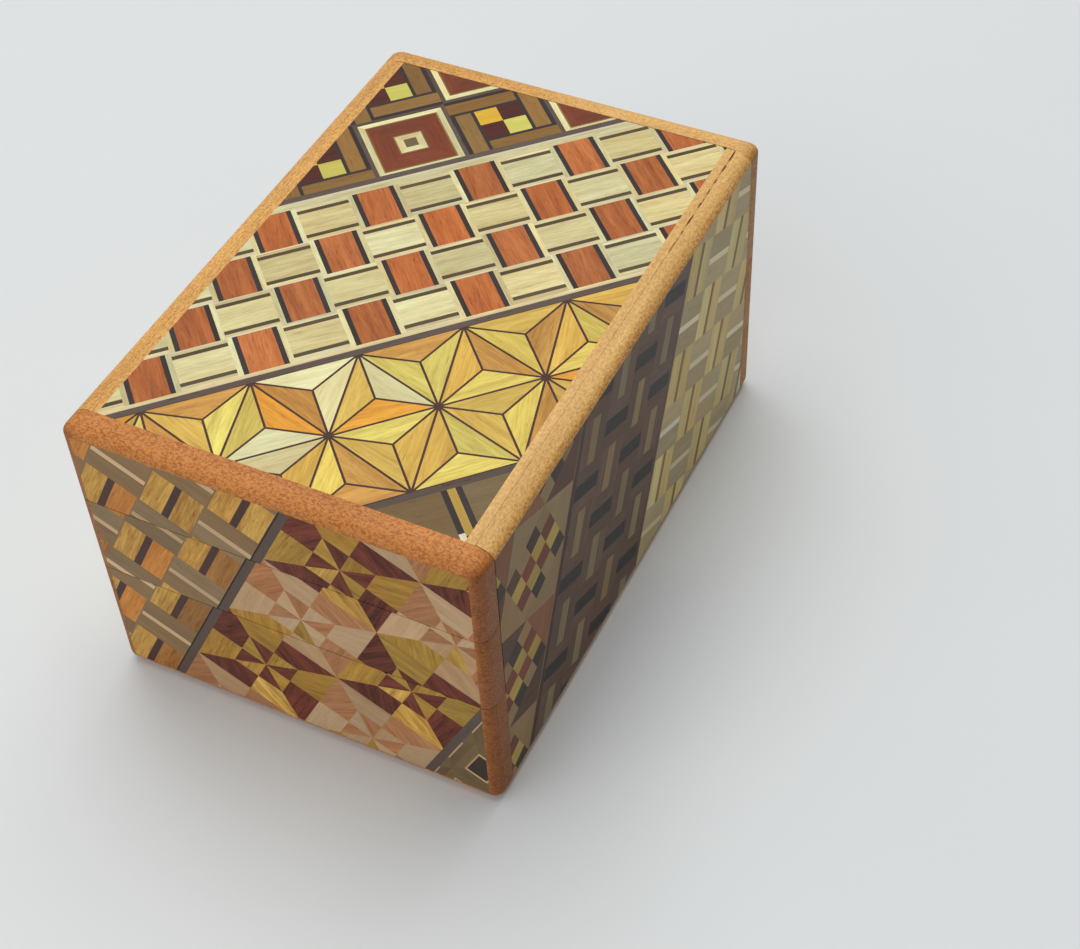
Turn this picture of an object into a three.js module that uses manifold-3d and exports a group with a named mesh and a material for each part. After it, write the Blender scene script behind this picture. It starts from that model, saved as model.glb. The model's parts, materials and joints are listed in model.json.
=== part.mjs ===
// A sliding-panel wooden puzzle box, in millimetres, +Z up.
// The origin is the bottom centre. X runs along the box, from the front end (-X) to the back end.
// The lid slides out over the front end and the base slides a short way out over the back end.
// Each end has a key, a middle strip that slides sideways and engages its panel's end strip.
// The back and bottom half is the front and top half given a half turn about the middle Y line.

import * as THREE from 'three';
import { mergeVertices } from 'three/addons/utils/BufferGeometryUtils.js';
import Module from 'manifold-3d';

const wasm = await Module();
wasm.setup();

// Overall size and the rounding of the outer edges.
const LENGTH = 99;
const WIDTH = 67;
const HEIGHT = 54;
const EDGE_INSET = 4.2; // reach of a rounded edge over the top or bottom
const EDGE_DROP = 2; // reach of the same edge down a side or end
const CORNER_RADIUS = 1.8; // upright corners
const ROUND_STEPS = 7;

// Outer boards and their marquetry skins.
const STRIP_THICK = 4.2; // the three strips that close each end
const SIDE_THICK = 2.7;
const PLATE_THICK = 1.9; // outer plate of the lid and of the base
const RUNNER_THICK = 1.3; // inner plate, whose long edges run in the side boards
const RUNNER_REACH = 1;
const SKIN_THICK = 0.3;
const PANEL_STRIP_HEIGHT = 15.3; // end strip carried by the lid or the base
const KEY_HEIGHT = 15.3;

// Inner box.
const INNER_END_THICK = 4.5;
const INNER_SIDE_THICK = 2.8;
const FLOOR_THICK = 3;

// Sliding fits and their stops.
const FIT = 0.15;
const KEY_TRAVEL = 4;
const BASE_TRAVEL = 6;
const TONGUE_LENGTH = 30;
const TONGUE_DEPTH = 2.2;
const TONGUE_NECK = 4.4;
const TONGUE_FLARE = 1; // how much wider the dovetail gets on each side
const PEG_WIDTH = 5;
const PEG_THICK = 1.2;
const PEG_RISE = 1.8;
const PEG_SEAT = 2.5;
const PEG_OFFSET = 12; // from the middle of the key towards +Y
const STOP_LENGTH = 10;
const STOP_WIDTH = 20;
const STOP_RISE = 1.6;

// Places worked out from the sizes above.
const endX = LENGTH / 2;
const sideY = WIDTH / 2;
const stripX = endX - STRIP_THICK; // inner face of a moving end strip
const innerX = stripX - FIT; // outer face of an inner end, and end of a side board
const roomX = innerX - INNER_END_THICK;
const boardY = sideY - SIDE_THICK; // inner face of a side board
const roomY = boardY - INNER_SIDE_THICK;
const panelThick = PLATE_THICK + RUNNER_THICK;
const panelEndX = innerX - FIT; // far end of the lid, short of the fixed strip
const coreLow = panelThick + FIT;
const coreHigh = HEIGHT - coreLow;
const stripLow = HEIGHT - PANEL_STRIP_HEIGHT;
const keyLow = stripLow - KEY_HEIGHT + FIT;
const keyHigh = stripLow - FIT;
const fixedHigh = stripLow - KEY_HEIGHT;
const cutMargin = 1; // how far a cutting solid passes beyond the face that it opens

const colours = {
  edge: 0xd9a25c,
  inner: 0xe2c592,
  hardwood: 0x8a5a34,
  lidSkin: 0xcfa25a,
  baseSkin: 0xa98a5a,
  sideSkin: 0x8d7a5c,
  endSkin: 0xb98e60,
};

// ---- solids ----

function toSolid(geometry) {
  geometry.deleteAttribute('normal');
  geometry.deleteAttribute('uv');
  const merged = mergeVertices(geometry);
  return new wasm.Manifold(new wasm.Mesh({
    numProp: 3,
    vertProperties: merged.attributes.position.array,
    triVerts: new Uint32Array(merged.index.array),
  }));
}

function toGeometry(solid) {
  const mesh = solid.getMesh();
  const geometry = new THREE.BufferGeometry();
  geometry.setAttribute('position', new THREE.BufferAttribute(mesh.vertProperties, 3));
  geometry.setIndex(new THREE.BufferAttribute(mesh.triVerts, 1));
  geometry.computeVertexNormals();
  return geometry;
}

// A block between two corners.
function block(low, high) {
  const geometry = new THREE.BoxGeometry(high[0] - low[0], high[1] - low[1], high[2] - low[2]);
  geometry.translate((low[0] + high[0]) / 2, (low[1] + high[1]) / 2, (low[2] + high[2]) / 2);
  return toSolid(geometry);
}

// A prism: the outline's two coordinates go to the two named axes, and it runs along the third.
function prism(outline, axes, from, to) {
  const shape = new THREE.Shape(outline.map(([u, v]) => new THREE.Vector2(u, v)));
  const geometry = new THREE.ExtrudeGeometry(shape, { depth: to - from, bevelEnabled: false });
  geometry.translate(0, 0, from);
  const turns = {
    xy: new THREE.Matrix4(),
    yz: new THREE.Matrix4().makeBasis(axis(0, 1, 0), axis(0, 0, 1), axis(1, 0, 0)),
    zx: new THREE.Matrix4().makeBasis(axis(0, 0, 1), axis(1, 0, 0), axis(0, 1, 0)),
  };
  geometry.applyMatrix4(turns[axes]);
  return toSolid(geometry);
}

function axis(x, y, z) {
  return new THREE.Vector3(x, y, z);
}

// A rectangle centred on (0, middle) whose corners are quarter ellipses, run anticlockwise.
function roundedRectangle(halfU, halfV, middleV, radiusU, radiusV) {
  const points = [];
  for (let corner = 0; corner < 4; corner += 1) {
    const signU = corner === 0 || corner === 3 ? 1 : -1;
    const signV = corner < 2 ? 1 : -1;
    for (let step = 0; step <= ROUND_STEPS; step += 1) {
      const angle = (corner + step / ROUND_STEPS) * Math.PI / 2;
      const u = signU * (halfU - radiusU) + radiusU * Math.cos(angle);
      const v = signV * (halfV - radiusV) + radiusV * Math.sin(angle);
      points.push([u, middleV + v]);
    }
  }
  return points;
}

// The whole box as one rounded block, which every outer board is trimmed to.
function makeEnvelope() {
  const halfZ = HEIGHT / 2;
  const alongX = roundedRectangle(sideY, halfZ, halfZ, EDGE_INSET, EDGE_DROP);
  const alongY = roundedRectangle(endX, halfZ, halfZ, EDGE_INSET, EDGE_DROP)
    .map(([x, z]) => [z, x])
    .reverse();
  const alongZ = roundedRectangle(endX, sideY, 0, CORNER_RADIUS, CORNER_RADIUS);
  return prism(alongX, 'yz', -endX, endX)
    .intersect(prism(alongY, 'zx', -sideY, sideY))
    .intersect(prism(alongZ, 'xy', 0, HEIGHT));
}

const envelope = makeEnvelope();

function outerBlock(low, high) {
  return block(low, high).intersect(envelope);
}

// ---- meshes ----

function mesh(name, solid, colour, roughness = 0.55) {
  const material = new THREE.MeshStandardMaterial({ color: colour, roughness, metalness: 0 });
  const object = new THREE.Mesh(toGeometry(solid), material);
  object.name = name;
  return object;
}

// ---- long sides ----

// One side board, on the side of +Y or -Y, with a groove for each panel's runner.
function sideBoard(name, side) {
  const inner = side * boardY;
  const outer = side * sideY;
  const yRange = (a, b) => [Math.min(a, b), Math.max(a, b)];
  const [y0, y1] = yRange(inner, outer);
  let board = outerBlock([-innerX, y0, 0], [innerX, y1, HEIGHT]);
  const [g0, g1] = yRange(inner - side * cutMargin, inner + side * (RUNNER_REACH + FIT));
  for (const low of [PLATE_THICK - FIT, HEIGHT - panelThick - FIT]) {
    const high = low + RUNNER_THICK + 2 * FIT;
    board = board.subtract(block([-endX, g0, low], [endX, g1, high]));
  }
  const [s0, s1] = yRange(outer - side * SKIN_THICK, outer + side * cutMargin);
  board = board.subtract(block([-endX, s0, EDGE_DROP], [endX, s1, HEIGHT - EDGE_DROP]));
  return mesh(name, board, colours.edge);
}

function sideSkin(name, side) {
  const edges = [side * sideY, side * (sideY - SKIN_THICK)].sort((a, b) => a - b);
  const skin = block([-innerX, edges[0], EDGE_DROP], [innerX, edges[1], HEIGHT - EDGE_DROP]);
  return mesh(name, skin, colours.sideSkin);
}

function innerSide(name, side) {
  const edges = [side * boardY, side * roomY].sort((a, b) => a - b);
  const wall = block([-roomX, edges[0], coreLow], [roomX, edges[1], coreHigh]);
  return mesh(name, wall, colours.inner, 0.7);
}

// ---- floor of the compartment, and the block that stops the base ----

function innerFloor() {
  const floor = block([-roomX, -roomY, coreLow], [roomX, roomY, coreLow + FLOOR_THICK]);
  const pocketX = STOP_LENGTH / 2 + FIT;
  const pocketY = STOP_WIDTH / 2 + FIT;
  const pocketHigh = panelThick + STOP_RISE + FIT;
  const pocket = block(
    [-pocketX, -pocketY, coreLow - cutMargin],
    [pocketX + BASE_TRAVEL, pocketY, pocketHigh],
  );
  return mesh('inner_floor', floor.subtract(pocket), colours.inner, 0.7);
}

function baseStop() {
  const stop = block(
    [-STOP_LENGTH / 2, -STOP_WIDTH / 2, panelThick],
    [STOP_LENGTH / 2, STOP_WIDTH / 2, panelThick + STOP_RISE],
  );
  return mesh('base_stop', stop, colours.hardwood);
}

// ---- one half: a sliding panel, its end strip, the key and the fixed strip below it ----

// The dovetail section of a key's tongue in (z, x), enlarged by a gap on every face.
function dovetail(gap) {
  const middle = (keyLow + keyHigh) / 2;
  const slope = TONGUE_FLARE / TONGUE_DEPTH;
  const gapZ = gap * Math.hypot(1, slope);
  const neck = TONGUE_NECK / 2 + gapZ;
  const root = neck + slope * (TONGUE_DEPTH + gap);
  return [
    [middle - neck, -stripX],
    [middle + neck, -stripX],
    [middle + root, -stripX + TONGUE_DEPTH + gap],
    [middle - root, -stripX + TONGUE_DEPTH + gap],
  ];
}

function innerEnd(name) {
  const wall = block([-innerX, -boardY, coreLow], [-roomX, boardY, coreHigh]);
  const reach = TONGUE_LENGTH / 2 + FIT;
  const groove = prism(dovetail(FIT), 'zx', -reach - KEY_TRAVEL, reach);
  return mesh(name, wall.subtract(groove), colours.inner, 0.7);
}

// A skin on the end face, between two heights, and the pocket that it is let into.
function endSkin(name, low, high) {
  const reach = sideY - CORNER_RADIUS;
  return mesh(name, block([-endX, -reach, low], [-endX + SKIN_THICK, reach, high]), colours.endSkin);
}

function endPocket(low, high) {
  const reach = sideY - CORNER_RADIUS;
  return block([-endX - cutMargin, -reach, low], [-endX + SKIN_THICK, reach, high]);
}

function fixedStrip(name) {
  const strip = outerBlock([-endX, -sideY, 0], [-innerX, sideY, fixedHigh])
    .subtract(endPocket(EDGE_DROP, fixedHigh + cutMargin));
  return mesh(name, strip, colours.edge);
}

const pegX = -endX + STRIP_THICK / 2;

function pegBlock(gap, low, high) {
  const halfX = PEG_THICK / 2 + gap;
  const halfY = PEG_WIDTH / 2 + gap;
  return block([pegX - halfX, PEG_OFFSET - halfY, low], [pegX + halfX, PEG_OFFSET + halfY, high]);
}

function keyStrip(name) {
  const strip = outerBlock([-endX, -sideY, keyLow], [-stripX, sideY, keyHigh])
    .subtract(endPocket(keyLow - cutMargin, keyHigh + cutMargin))
    .subtract(pegBlock(0, keyHigh - PEG_SEAT, keyHigh + cutMargin));
  return mesh(name, strip, colours.edge);
}

function keyTongue(name) {
  const tongue = prism(dovetail(0), 'zx', -TONGUE_LENGTH / 2, TONGUE_LENGTH / 2);
  return mesh(name, tongue, colours.hardwood);
}

function keyPeg(name) {
  return mesh(name, pegBlock(0, keyHigh - PEG_SEAT, keyHigh + PEG_RISE), colours.hardwood);
}

// The panel's strip has an L-shaped slot over the peg. Its open branch lets the panel slide away,
// and the peg is caught in the closed branch once the key has moved towards -Y.
function panelStrip(name) {
  const slotHigh = keyHigh + PEG_RISE + FIT;
  const slotLow = stripLow - cutMargin;
  const halfY = PEG_WIDTH / 2 + FIT;
  const halfX = PEG_THICK / 2 + FIT;
  const open = block(
    [pegX - halfX, PEG_OFFSET - halfY, slotLow],
    [-stripX + cutMargin, PEG_OFFSET + halfY, slotHigh],
  );
  const closed = block(
    [pegX - halfX, PEG_OFFSET - halfY - KEY_TRAVEL, slotLow],
    [pegX + halfX, PEG_OFFSET + halfY, slotHigh],
  );
  const strip = outerBlock([-endX, -sideY, stripLow], [-stripX, sideY, HEIGHT])
    .subtract(endPocket(stripLow - cutMargin, HEIGHT - EDGE_DROP))
    .subtract(open.add(closed));
  return mesh(name, strip, colours.edge);
}

function panelPlate(name) {
  const reach = boardY - FIT;
  const skinY = sideY - EDGE_INSET;
  const plate = outerBlock([-stripX, -reach, HEIGHT - PLATE_THICK], [panelEndX, reach, HEIGHT])
    .subtract(block([-endX, -skinY, HEIGHT - SKIN_THICK], [endX, skinY, HEIGHT + cutMargin]));
  return mesh(name, plate, colours.edge);
}

function panelSkin(name, colour) {
  const skinY = sideY - EDGE_INSET;
  const skin = block([-stripX, -skinY, HEIGHT - SKIN_THICK], [panelEndX, skinY, HEIGHT]);
  return mesh(name, skin, colour);
}

function panelRunner(name) {
  const reach = boardY + RUNNER_REACH;
  const low = HEIGHT - panelThick;
  return mesh(name, block([-stripX, -reach, low], [panelEndX, reach, low + RUNNER_THICK]), colours.inner);
}

// The names tell which end and which panel this half is.
function half(names, panelColour) {
  const group = new THREE.Group();
  group.add(
    innerEnd(`inner_end_${names.end}`),
    fixedStrip(`${names.end}_fixed_strip`),
    endSkin(`${names.end}_fixed_strip_skin`, EDGE_DROP, fixedHigh),
    keyStrip(`${names.end}_key`),
    endSkin(`${names.end}_key_skin`, keyLow, keyHigh),
    keyTongue(`${names.end}_key_tongue`),
    keyPeg(`${names.end}_key_peg`),
    panelStrip(`${names.panel}_end_strip`),
    endSkin(`${names.panel}_end_strip_skin`, stripLow, HEIGHT - EDGE_DROP),
    panelPlate(`${names.panel}_plate`),
    panelSkin(`${names.panel}_skin`, panelColour),
    panelRunner(`${names.panel}_runner`),
  );
  return group;
}

// ---- the box ----

const box = new THREE.Group();
box.add(half({ end: 'front', panel: 'lid' }, colours.lidSkin));

const turnedHalf = half({ end: 'back', panel: 'base' }, colours.baseSkin);
turnedHalf.rotation.y = Math.PI;
turnedHalf.position.z = HEIGHT;
box.add(turnedHalf);

for (const [word, side] of [['right', -1], ['left', 1]]) {
  box.add(
    sideBoard(`side_board_${word}`, side),
    sideSkin(`side_skin_${word}`, side),
    innerSide(`inner_side_${word}`, side),
  );
}
box.add(innerFloor(), baseStop());

export default box;
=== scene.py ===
import json
import math

import bpy
import numpy as np
from bpy.props import FloatProperty, FloatVectorProperty, IntProperty
from mathutils import Matrix, Vector


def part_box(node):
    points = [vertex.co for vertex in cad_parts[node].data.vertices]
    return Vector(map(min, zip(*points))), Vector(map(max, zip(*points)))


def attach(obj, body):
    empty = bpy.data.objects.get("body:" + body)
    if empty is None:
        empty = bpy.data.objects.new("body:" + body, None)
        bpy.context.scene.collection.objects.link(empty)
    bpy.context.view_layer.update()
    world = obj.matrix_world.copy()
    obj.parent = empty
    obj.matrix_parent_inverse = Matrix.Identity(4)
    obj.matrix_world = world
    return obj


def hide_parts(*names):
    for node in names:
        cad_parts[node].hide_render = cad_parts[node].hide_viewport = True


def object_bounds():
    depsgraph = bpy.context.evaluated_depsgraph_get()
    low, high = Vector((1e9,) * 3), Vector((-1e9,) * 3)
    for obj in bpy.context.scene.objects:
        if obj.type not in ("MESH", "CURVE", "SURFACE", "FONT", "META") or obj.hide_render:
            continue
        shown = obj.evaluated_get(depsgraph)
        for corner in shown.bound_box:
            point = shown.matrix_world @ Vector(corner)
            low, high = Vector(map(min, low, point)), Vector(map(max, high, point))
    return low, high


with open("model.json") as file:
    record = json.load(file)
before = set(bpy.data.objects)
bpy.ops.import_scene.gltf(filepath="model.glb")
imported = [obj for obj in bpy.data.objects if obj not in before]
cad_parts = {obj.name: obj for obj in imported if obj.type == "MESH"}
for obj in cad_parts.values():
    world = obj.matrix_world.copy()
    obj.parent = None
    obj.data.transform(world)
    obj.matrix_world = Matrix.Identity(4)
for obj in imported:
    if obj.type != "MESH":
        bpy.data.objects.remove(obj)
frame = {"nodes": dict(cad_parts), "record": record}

bl_info = {
    "name": "Marquetry puzzle box",
    "version": (1, 0, 0),
    "blender": (4, 5, 0),
    "location": "3D View > Sidebar > Puzzle box",
    "description": "The rounded boards, marquetry skins and inner woods of a sliding-panel puzzle box",
    "category": "Add Mesh",
}

# ---- places, in millimetres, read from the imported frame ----

MM = 0.001


def span(node):
    """The lowest and the highest corner of a CAD node."""
    low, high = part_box(node)
    return np.array(low) / MM, np.array(high) / MM


CAD_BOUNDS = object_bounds()
END_X, SIDE_Y, HEIGHT = np.array(CAD_BOUNDS[1]) / MM
SIDE_LOW, SIDE_HIGH = span("side_board_left")
PLATE_LOW, PLATE_HIGH = span("lid_plate")
RUNNER_LOW, RUNNER_HIGH = span("lid_runner")
SIDE_SKIN_LOW, SIDE_SKIN_HIGH = span("side_skin_left")
PEG_LOW, PEG_HIGH = span("front_key_peg")
FIXED_HIGH = span("front_fixed_strip")[1][2]
KEY_LOW, KEY_HIGH = span("front_key")[0][2], span("front_key")[1][2]
LID_STRIP_LOW = span("lid_end_strip")[0][2]
EDGE_INSET = SIDE_Y - span("lid_skin")[1][1]
EDGE_DROP = HEIGHT - SIDE_SKIN_HIGH[2]
CORNER_RADIUS = SIDE_Y - span("front_key_skin")[1][1]
SKIN_THICK = SIDE_SKIN_HIGH[1] - SIDE_SKIN_LOW[1]
STRIP_INNER = PLATE_LOW[0]  # inner face of the lid's end strip and of the key
FIXED_INNER = SIDE_LOW[0]  # inner face of the fixed strip, and end of a side board
FIT = FIXED_INNER - STRIP_INNER
SEAM = 0.03  # what shows of a fit where two rubbed edges meet
SEAM_Y = PLATE_HIGH[1] + FIT - SEAM / 2  # the seam between a plate and a side board
LEAST_RADIUS = 0.01  # of a strip's upright corner where its rim has run out
RIM_LEFT = 0.06  # how far a strip's rim stops short of the skin, so that its top face isn't pinched
KEY_TRAVEL = next(j["range_m"][1] for j in frame["record"]["behaviour"]["joints"]
                  if j["name"] == "front_key_slide") / MM
BODY_OF = {node: body for body, nodes in frame["record"]["behaviour"]["bodies"].items() for node in nodes}
SLOT_OF = {row["node"]: row["material_slot"] for row in frame["record"]["subparts"]}

# ---- woods ----

# name: colour, strength of the long figure, strength of the dark pores
WOODS = {
    "padauk": ("#bb6a34", 0.80, 0.45),
    "magnolia": ("#d9cf9a", 0.50, 0.22),
    "holly": ("#d9cbaa", 0.20, 0.05),
    "bog_oak": ("#352c2c", 0.35, 0.10),
    "walnut_line": ("#57472f", 0.35, 0.15),
    "divider_grey": ("#5d4e44", 0.30, 0.45),
    "red_cedar": ("#7a3a20", 0.60, 0.45),
    "khaki_oak": ("#8f6c38", 0.35, 0.35),
    "barberry": ("#d8ae34", 0.30, 0.10),
    "pale_barberry": ("#d9cf62", 0.20, 0.06),
    "rosewood": ("#532218", 0.60, 0.30),
    "sumac": ("#dec862", 0.60, 0.25),
    "wax_tree": ("#d4ae50", 0.60, 0.25),
    "lacquer_tree": ("#e09d34", 0.60, 0.25),
    "mulberry": ("#c89244", 0.70, 0.35),
    "spindle": ("#e6dba2", 0.40, 0.12),
    "olive_oak": ("#786341", 0.25, 0.25),
    "straw": ("#d2a148", 1.00, 0.55),
    "honey": ("#a56e30", 0.70, 0.50),
    "tangerine": ("#d48a38", 0.80, 0.50),
    "plum": ("#4a2e26", 0.30, 0.15),
    "birch": ("#d6b88f", 0.25, 0.08),
    "ash_brown": ("#8f7450", 0.30, 0.30),
    "dark_rosewood": ("#6a2e1c", 2.00, 0.60),
    "mustard": ("#b28834", 0.80, 0.45),
    "cherry": ("#b27a4e", 0.70, 0.25),
    "beech": ("#c7a47c", 0.35, 0.12),
    "purple_grey": ("#66544b", 0.20, 0.20),
    "black_line": ("#241b19", 0.10, 0.00),
    # cocoa to taupe, the woods of the right side's checks and bar weave, are set darker than the woods
    # themselves: painted shade for the shade that falls on that side of the box.
    "cocoa": ("#3a2c22", 0.30, 0.30),
    "maple": ("#987c52", 0.30, 0.12),
    "smoked_oak": ("#5c3c2a", 0.50, 0.35),
    "russet": ("#7c3c24", 0.50, 0.30),
    "moss": ("#bfa04a", 0.35, 0.15),
    "warm_brown": ("#8b5a38", 0.50, 0.30),
    "ebony": ("#231f1b", 0.40, 0.15),
    "willow": ("#8d7a52", 0.35, 0.15),
    "taupe": ("#664a38", 0.45, 0.35),
    "olive_yellow": ("#d8c07c", 0.35, 0.20),
    "umber": ("#876b3c", 0.25, 0.15),
    "dove": ("#b8a478", 0.25, 0.20),
    "ivory": ("#e6dab4", 0.08, 0.02),
}
WOOD_NAMES = list(WOODS)


def linear(code):
    """The linear colour of a hexadecimal screen colour."""
    screen = [int(code[i:i + 2], 16) / 255 for i in (1, 3, 5)]
    return [c / 12.92 if c <= 0.04045 else ((c + 0.055) / 1.055) ** 2.4 for c in screen]


def length_property(name, description, millimetres):
    return FloatProperty(name=name, description=description, default=millimetres * MM, min=0.0,
                         unit="LENGTH")


def colour_property(name, description, code):
    return FloatVectorProperty(name=name, description=description, default=linear(code),
                               min=0.0, max=1.0, size=3, subtype="COLOR")


class WoodColours(bpy.types.PropertyGroup):
    """The colour of each wood in the marquetry."""

    __annotations__ = {
        name: colour_property(name.replace("_", " ").capitalize(),
                              f"Colour of the {name.replace('_', ' ')} in the skins", code)
        for name, (code, _, _) in WOODS.items()
    }


class BoxFinish(bpy.types.PropertyGroup):
    """The sizes and colours of the boards and of the finish."""

    seam_ease: length_property("Seam ease", "Radius of the sanded edge along each seam", 0.07)
    skin_bed: length_property("Skin bed", "Thickness of the glued paper under the marquetry tiles", 0.05)
    tone_spread: FloatProperty(
        name="Tone spread", description="How much pieces of one wood differ in brightness",
        default=0.16, min=0.0, max=1.0, subtype="FACTOR")
    round_steps: IntProperty(
        name="Round steps", description="Steps in each quarter turn of a rounded edge",
        default=20, min=4)
    front_wood: colour_property("End strips", "Colour of the bare wood of the front strips", "#c98443")
    side_wood: colour_property("Other boards", "Colour of the bare wood of the other boards", "#dca456")
    # Painted highlight: the lighter colour laid on the round of the side and back boards' edges
    edge_highlight_wood: colour_property("Painted edge highlight", "Colour of the bare wood in its painted edge highlight", "#ecc987")
    speck_wood: colour_property("Specks", "Colour of the fine specks in the bare wood", "#9c531f")
    inner_wood: colour_property("Inner box", "Colour of the planed wood of the inner box", "#dcbc85")
    key_wood: colour_property("Hardwood", "Colour of the tongues, pegs and stop", "#7d4c2c")


def finish_settings():
    return bpy.context.scene.box_finish


# ---- shader maths ----

class Value:
    """A number's socket in a material. Arithmetic on it adds Math nodes."""

    def __init__(self, paint, socket):
        self.paint = paint
        self.socket = socket

    def maths(self, operation, *others):
        return self.paint.maths(operation, self, *others)

    def __add__(self, other):
        return self.maths("ADD", other)

    __radd__ = __add__

    def __sub__(self, other):
        return self.maths("SUBTRACT", other)

    def __rsub__(self, other):
        return self.paint.maths("SUBTRACT", other, self)

    def __mul__(self, other):
        return self.maths("MULTIPLY", other)

    __rmul__ = __mul__

    def __pow__(self, other):
        return self.maths("POWER", other)


class Paint:
    """One material and its nodes."""

    def __init__(self, name):
        self.material = bpy.data.materials.new(name)
        self.material.use_nodes = True
        self.tree = self.material.node_tree
        self.tree.nodes.clear()

    def make(self, kind, settings=None, sockets=None):
        """A node of a type, with its settings and then the values or links of its sockets."""
        node = self.tree.nodes.new(f"ShaderNode{kind}")
        for name, value in (settings or {}).items():
            setattr(node, name, value)
        for key, value in (sockets or {}).items():
            if isinstance(value, Value):
                value = value.socket
            if isinstance(value, bpy.types.NodeSocket):
                self.tree.links.new(value, node.inputs[key])
            else:
                node.inputs[key].default_value = value
        return node

    def value(self, kind, settings=None, sockets=None, output=0):
        return Value(self, self.make(kind, settings, sockets).outputs[output])

    def maths(self, operation, *operands):
        return self.value("Math", {"operation": operation}, dict(enumerate(operands)))

    def between(self, value, low, high):
        """0 where the value is below low, 1 above high, and a smooth step between them."""
        return self.value("MapRange", {"interpolation_type": "SMOOTHSTEP"},
                          {"Value": value, "From Min": low, "From Max": high}, "Result")

    def point(self, x, y, z):
        return self.make("CombineXYZ", None, {0: x, 1: y, 2: z}).outputs[0]

    def parts(self, vector):
        node = self.make("SeparateXYZ", None, {0: vector})
        return [Value(self, output) for output in node.outputs]

    def attribute(self, name, output="Vector"):
        return self.make("Attribute", {"attribute_name": name}).outputs[output]

    def noise(self, point, detail=2.0, roughness=0.55):
        """Noise about one unit across, from 0 to 1."""
        return self.value("TexNoise", {"noise_dimensions": "3D"},
                          {"Vector": point, "Scale": 1.0, "Detail": detail, "Roughness": roughness}, 0)

    def shaded(self, colour, shade, warmth=0.35):
        """A colour times a shade, whose dark parts keep more red than blue."""
        tint = self.point(shade, shade ** (1 + warmth), shade ** (1 + 2 * warmth))
        return self.make("VectorMath", {"operation": "MULTIPLY"}, {0: colour, 1: tint}).outputs[0]

    def blend(self, factor, first, second):
        return self.make("Mix", {"data_type": "RGBA"}, {0: factor, 6: first, 7: second}).outputs[2]

    def bump(self, height, distance, strength):
        return self.make("Bump", None, {"Strength": strength, "Distance": distance,
                                        "Height": height}).outputs[0]

    def surface(self, colour, roughness, normal, coat=0.0, coat_roughness=0.3, specular=0.5):
        shader = self.make("BsdfPrincipled", None, {
            "Base Color": colour, "Roughness": roughness, "Normal": normal, "Coat Weight": coat,
            "Coat Roughness": coat_roughness, "Specular IOR Level": specular})
        self.make("OutputMaterial", None, {"Surface": shader.outputs[0]})
        return self.material


def with_alpha(colour):
    return (*colour, 1.0)


def object_point(paint):
    """Object coordinates in millimetres."""
    coordinates = paint.make("TexCoord").outputs["Object"]
    return paint.parts(paint.make("VectorMath", {"operation": "SCALE"},
                                  {0: coordinates, "Scale": 1 / MM}).outputs[0])


def marquetry_material():
    """Waxed veneer. Each tile's attributes give its wood, its figure and its place in the stick."""
    paint = Paint("waxed_marquetry")
    # The number drawn for a tile's stick picks another cut through each noise.
    along, across, stick = paint.parts(paint.attribute("grain"))
    figure, pores, _ = paint.parts(paint.attribute("figure"))
    wide = paint.noise(paint.point(along * 0.07, across * 0.8, stick * 17.0), 2.0)
    fine = paint.noise(paint.point(along * 0.28, across * 3.2, stick * 31.0), 3.0, 0.7)
    dots = paint.noise(paint.point(along * 0.4, across * 3.4, stick * 7.0), 2.0, 0.6)
    dark_dots = paint.between(dots, 0.58, 0.70)
    shade = 1 + figure * ((wide - 0.5) * 1.1 + (fine - 0.5) * 1.1) - pores * dark_dots * 0.6
    shade = paint.maths("MAXIMUM", shade, 0.12)
    colour = paint.shaded(paint.attribute("wood", "Color"), shade)
    roughness = 0.42 + fine * 0.16 + dark_dots * 0.1
    normal = paint.bump(fine - dark_dots * 0.6, 0.03 * MM, 0.35)
    return paint.surface(colour, roughness, normal, coat=0.03, coat_roughness=0.3, specular=0.22)


def opened_seam(paint, place, away):
    """Where the seam on the right has opened, in a broken line near the back. away is the height above
    or below the middle of the box."""
    dark, clear = 0.05, 0.20  # reach of the dark beside the seam
    depth, fade = 0.6, 0.4  # how far down into the seam it goes
    start, full = 12.0, 26.0  # where along the length it begins
    beside = 1 - paint.between(paint.maths("ABSOLUTE", place[1] + SEAM_Y), dark, clear)
    broken = paint.between(paint.noise(paint.point(place[0] * 0.5, place[1], 3.0), 3.0), 0.42, 0.56)
    outside = paint.between(away, HEIGHT / 2 - depth, HEIGHT / 2 - fade)
    return beside * broken * outside * paint.between(place[0], start, full)


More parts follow.
